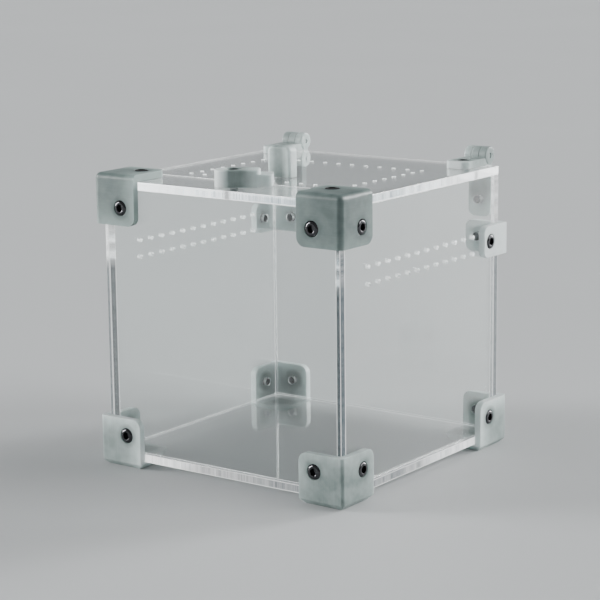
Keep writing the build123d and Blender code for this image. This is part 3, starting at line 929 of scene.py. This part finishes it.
# %% The latch lever
LEVER_HALF, TAIL_X, GRIP_END, TONGUE_END = 3.8, -2.8, 9.0, 13.4
TONGUE_LIFT, TONGUE_TOP = 0.3, 4.4
TONGUE_CORNER, GRIP_CORNER, LEVER_RIM = 2.0, 1.5, 0.6
PIVOT_RADIUS, PIVOT_HOLE_LENGTH = 1.6, 12

tongue = block("latch", (0, -LEVER_HALF, TONGUE_LIFT), (TONGUE_END, LEVER_HALF, TONGUE_TOP))
round_edges(tongue, TONGUE_CORNER, lambda middle, way: abs(way.z) > 0.9 and near(middle.x, TONGUE_END))
finger_grip = block("finger_grip", (TAIL_X, -LEVER_HALF, 0), (GRIP_END, LEVER_HALF, LEVER_TOP))
round_edges(finger_grip, GRIP_CORNER, lambda middle, way: abs(way.z) > 0.9 and near(middle.x, GRIP_END))
tail = rod("tail", (TAIL_X, 0, LEVER_TOP / 2), Z_WAY, LEVER_HALF, LEVER_TOP, sides=96)
boolean(finger_grip, [tail], "UNION")
alone(finger_grip)
bpy.ops.object.mode_set(mode="EDIT")
bpy.ops.mesh.select_all(action="SELECT")
bpy.ops.mesh.remove_doubles(threshold=0.002 * MM)
bpy.ops.mesh.dissolve_limited(angle_limit=radians(1))
round_edges(finger_grip, LEVER_RIM, lambda middle, way: near(middle.z, LEVER_TOP), segments=6)
latch = boolean(tongue, [finger_grip], "UNION")
pivot_hole = rod("hole", (0, 0, LEVER_TOP / 2), Z_WAY, PIVOT_RADIUS, PIVOT_HOLE_LENGTH, sides=40)
recess_z = LEVER_WEB + RECESS_LENGTH / 2
recess = rod("recess", (0, 0, recess_z), Z_WAY, HEAD_RADIUS + HEAD_AIR, RECESS_LENGTH, sides=64)
boolean(latch, [pivot_hole, recess])
at_rest = Matrix.Translation(metres((0, PIVOT_Y, TOP))) @ Matrix.Rotation(LATCH_TURN, 4, "Z")
latch.data.transform(at_rest)
softened(latch)
latch.name = "turn_latch"
deliver(latch, "latch", "printed_plastic", print_lever, "latch_lever")

# %% [markdown]
# ## Lid grip
# An upright tab, screwed on from below, lifts the lid. It is a block with its top corners rounded
# first and every outer edge rounded after that, so that it is kind to a fingertip.

# %% The lid grip
TAB_SIDE, TAB_DEPTH, TAB_TOP = 4.9, 2.3, TOP + 11.0  # half width, half thickness and top
TAB_CORNER, TAB_RIM = 2.2, 1.0
BORE_MIDDLE, BORE_LENGTH = TOP + 3.5, 8.0


def top_corner(middle, way):
    return abs(way.y) > 0.9 and near(middle.z, TAB_TOP)


def outer_rim(middle, way):
    return near(abs(middle.y - GRIP_Y), TAB_DEPTH) and middle.z > TOP + 1


tab = block("lid_tab", (-TAB_SIDE, GRIP_Y - TAB_DEPTH, TOP), (TAB_SIDE, GRIP_Y + TAB_DEPTH, TAB_TOP))
round_edges(tab, TAB_CORNER, top_corner)
round_edges(tab, TAB_RIM, outer_rim, segments=6)
boolean(tab, [rod("bore", (0, GRIP_Y, BORE_MIDDLE), Z_WAY, TAPPED_RADIUS, BORE_LENGTH, sides=40)])
softened(tab)
deliver(tab, "lid", "printed_plastic", print_tab, "lid_grip")

# %% [markdown]
# ## Floor and light
# The floor is one large pale disc: clear plastic needs something plain behind it. All lamps are
# suns, so they light the floor evenly all over, and their wide angles make them soft. The broad key
# comes from the right and a little behind, so the right-hand faces are the brighter ones. Two arcs
# of smaller lamps, on the left and at the back, act as tall softboxes: each lies where the rounded
# rim of a screw head mirrors it to the camera, as a long crescent.

# %% Floor
FLOOR_RADIUS, FLOOR_DROP = 9.0, 0.0001  # in metres

alone()
bpy.ops.mesh.primitive_circle_add(
    vertices=96, radius=FLOOR_RADIUS, fill_type="NGON", location=(0, 0, -FLOOR_DROP)
)
floor = bpy.context.object
floor.name = "floor"
bpy.ops.object.transform_apply(location=True, rotation=True, scale=True)
pale = Finish("pale_floor")
floor_tone = pale.noise((0.004, 0.004, 0.004), detail=3.0)
pale_floor = pale.set(
    Base_Color=pale.mixed(floor_tone, (0.51, 0.525, 0.53, 1), (0.54, 0.555, 0.56, 1)),
    Roughness=0.55,
)
floor.data.materials.append(pale_floor)
floor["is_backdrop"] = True


# %% Lamps
def sun(name, place, power, angle):
    """A sun that shines from a place in millimetres towards the origin."""
    alone()
    bpy.ops.object.light_add(type="SUN", location=metres(place))
    lamp = bpy.context.object
    lamp.name = name
    lamp.data.energy, lamp.data.angle = power, radians(angle)
    lamp.rotation_euler = (-metres(place)).to_track_quat("-Z", "Y").to_euler()


LEFT_ARC = ((-937, -348, 60), (-893, -433, 130), (-784, -544, 298))
BACK_ARC = ((460, 790, 400), (380, 870, 240), (300, 951, 100))
sun("key_right", (900, 420, 560), power=2.0, angle=35)
for name, arc, power in (("left_arc", LEFT_ARC, 1.9), ("back_arc", BACK_ARC, 1.5)):
    for i, place in enumerate(arc):
        sun(f"{name}_{i}", place, power, angle=18)

world = bpy.data.worlds.new("studio")
bpy.context.scene.world = world
world.use_nodes = True
sky = world.node_tree.nodes["Background"]
sky.inputs["Color"].default_value = (0.80, 0.83, 0.85, 1)
sky.inputs["Strength"].default_value = 0.42

# %% [markdown]
# ## Size and finish
# The dressed object keeps close to the CAD object's size: both boxes are written down and the
# change at each corner is printed. The dressed object has to keep the CAD object's size.

# %% Finish
alone()
seen_box = [list(corner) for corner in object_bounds()]
for cad_corner, seen_corner in zip(cad_box, seen_box):
    print("size change in mm:", [round((seen - cad) / MM, 3) for cad, seen in zip(cad_corner, seen_corner)])
